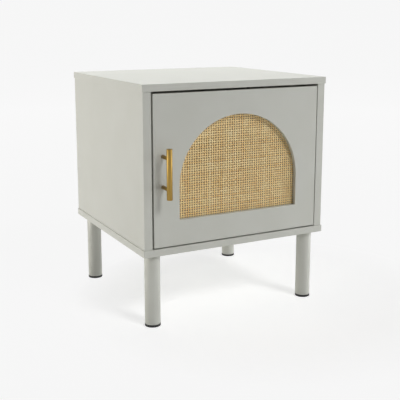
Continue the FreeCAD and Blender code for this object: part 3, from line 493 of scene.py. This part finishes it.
# Stage: the card that is seen glows, so that shadows stay pale; a plain card under it bounces light
SWEEP_PROFILE = ((0.0, 0.0), (4.0, 0.0), (4.8, 0.15), (5.4, 0.6), (5.7, 1.3), (5.9, 2.6))
SWEEP_STEPS = 64
SEAM_GAP = 0.1 * MM
CARD_ROUGHNESS = 0.9
MOTTLE_SIZE = 300 * MM
BOUNCE_REACH = 4.0
BOUNCE_DEPTH = 1 * MM
# near this spot under the table the card takes more of the key's light and glows less
SHADE_SPOT = (0.12, -0.12, 0.0)
CARD_TAKES = ((0.53, "#202020"), (0.7, "#D4D4D4"))
CARD_GLOWS = ((0.53, "#F4F4F4"), (0.7, "#D5D5D5"))


def stage_card(bm, name, material):
    # finished card made a smooth object of the stage
    bmesh.ops.recalc_face_normals(bm, faces=bm.faces)
    for face in bm.faces:
        face.smooth = True
    mesh = bpy.data.meshes.new(name)
    bm.to_mesh(mesh)
    bm.free()
    mesh.materials.append(material)
    piece = bpy.data.objects.new(name, mesh)
    scene.collection.objects.link(piece)
    return piece


# White paper sweep, matt: a spun floor that curves up all round
paper, tree, surface, place = bare_material("white_sweep", Roughness=CARD_ROUGHNESS, Emission_Strength=1.0)
aside = add(tree, "ShaderNodeMapping", {"Location": [-step for step in SHADE_SPOT]}, {"Vector": place})
reach = add(tree, "ShaderNodeTexGradient", {"gradient_type": "SPHERICAL"}, {"Vector": aside.outputs[0]})
for socket, stops in (("Base Color", CARD_TAKES), ("Emission Color", CARD_GLOWS)):
    ramp = add(tree, "ShaderNodeValToRGB", {"stops": stops}, {"Fac": reach.outputs["Fac"]})
    tree.links.new(ramp.outputs["Color"], surface.inputs[socket])
bm = bmesh.new()
profile = [bm.verts.new((radius, 0.0, level)) for radius, level in SWEEP_PROFILE]
edges = [bm.edges.new(pair) for pair in zip(profile, profile[1:])]
bmesh.ops.spin(bm, geom=profile + edges, cent=(0, 0, 0), axis=(0, 0, 1), angle=2 * math.pi,
               steps=SWEEP_STEPS, use_merge=True)
bmesh.ops.remove_doubles(bm, verts=bm.verts, dist=SEAM_GAP)
seen_card = stage_card(bm, "white_sweep", paper)
seen_card.visible_diffuse = False
seen_card.visible_shadow = False

# Off-white board, matt, faintly mottled: the camera doesn't see it, it throws light up at the object
board, tree, surface, place = bare_material("bounce_card", Roughness=CARD_ROUGHNESS)
mottle = add(tree, "ShaderNodeTexNoise", {"Scale": 1 / MOTTLE_SIZE}, {"Vector": place})
ramp = add(tree, "ShaderNodeValToRGB", {"stops": ((0.3, "#E6E6E4"), (0.7, "#E8E8E6"))},
           {"Fac": mottle.outputs["Fac"]})
tree.links.new(ramp.outputs["Color"], surface.inputs["Base Color"])
bm = bmesh.new()
bmesh.ops.create_grid(bm, x_segments=1, y_segments=1, size=BOUNCE_REACH,
                      matrix=Matrix.Translation((0, 0, -BOUNCE_DEPTH)))
bounce_card = stage_card(bm, "bounce_card", board)
bounce_card.visible_camera = False

# Light: a faint even sky, three soft lamps and one key
SKY_STRENGTH = 0.04
LAMP_TARGET = (0.0, 0.0, 0.3)
KEY_STRENGTH = 1.07
KEY_SPREAD = math.radians(16)
KEY_HEADING = (-0.24, 0.69, -0.68)
world = bpy.data.worlds.new("studio")
world.use_nodes = True
sky = world.node_tree.nodes["Background"]
sky.inputs["Color"].default_value = linear("#FFFFFF")
sky.inputs["Strength"].default_value = SKY_STRENGTH
scene.world = world

# the soft lamps leave the seen card alone, so that its shadows come from the key
kept_off = bpy.data.collections.new("kept_off_the_card")
kept_off.objects.link(seen_card)
kept_off.collection_objects[0].light_linking.link_state = "EXCLUDE"


def softbox(name, spot, width, height, power, colour):
    # flat lamp that faces the table
    lamp = bpy.data.lights.new(name, "AREA")
    lamp.shape = "RECTANGLE"
    lamp.size = width
    lamp.size_y = height
    lamp.energy = power
    lamp.color = linear(colour)[:3]
    item = bpy.data.objects.new(name, lamp)
    item.location = spot
    item.rotation_euler = (Vector(LAMP_TARGET) - Vector(spot)).to_track_quat("-Z", "Y").to_euler()
    item.light_linking.receiver_collection = kept_off
    scene.collection.objects.link(item)


# the side lamps stand low, so that the table top doesn't mirror them
softbox("overhead", (0.1, 0.5, 2.3), width=2.0, height=2.0, power=47.0, colour="#FFFFFF")
softbox("left_fill", (-2.2, 0.8, 0.4), width=2.2, height=0.7, power=23.8, colour="#FFFBF3")
softbox("right_fill", (2.2, -0.9, 0.4), width=1.6, height=0.7, power=17.0, colour="#FFFFFF")
key = bpy.data.lights.new("front_key", "SUN")
key.energy = KEY_STRENGTH
key.angle = KEY_SPREAD
key_lamp = bpy.data.objects.new("front_key", key)
key_lamp.rotation_euler = Vector(KEY_HEADING).to_track_quat("-Z", "Y").to_euler()
scene.collection.objects.link(key_lamp)

# Camera: front left of the table and a little above it, looking slightly down
CAMERA_SPOT = (-0.82455, -1.57655, 0.64684)
CAMERA_DOWN = math.radians(10.81)
CAMERA_RIGHT = math.radians(27.77)
lens = bpy.data.cameras.new("camera")
lens.lens = 68.45
lens.sensor_width = 36.0
lens.shift_y = -0.09
lens.clip_end = 100.0
camera = bpy.data.objects.new("camera", lens)
camera.location = CAMERA_SPOT
camera.rotation_euler = (math.pi / 2 - CAMERA_DOWN, 0.0, -CAMERA_RIGHT)
scene.collection.objects.link(camera)
scene.camera = camera
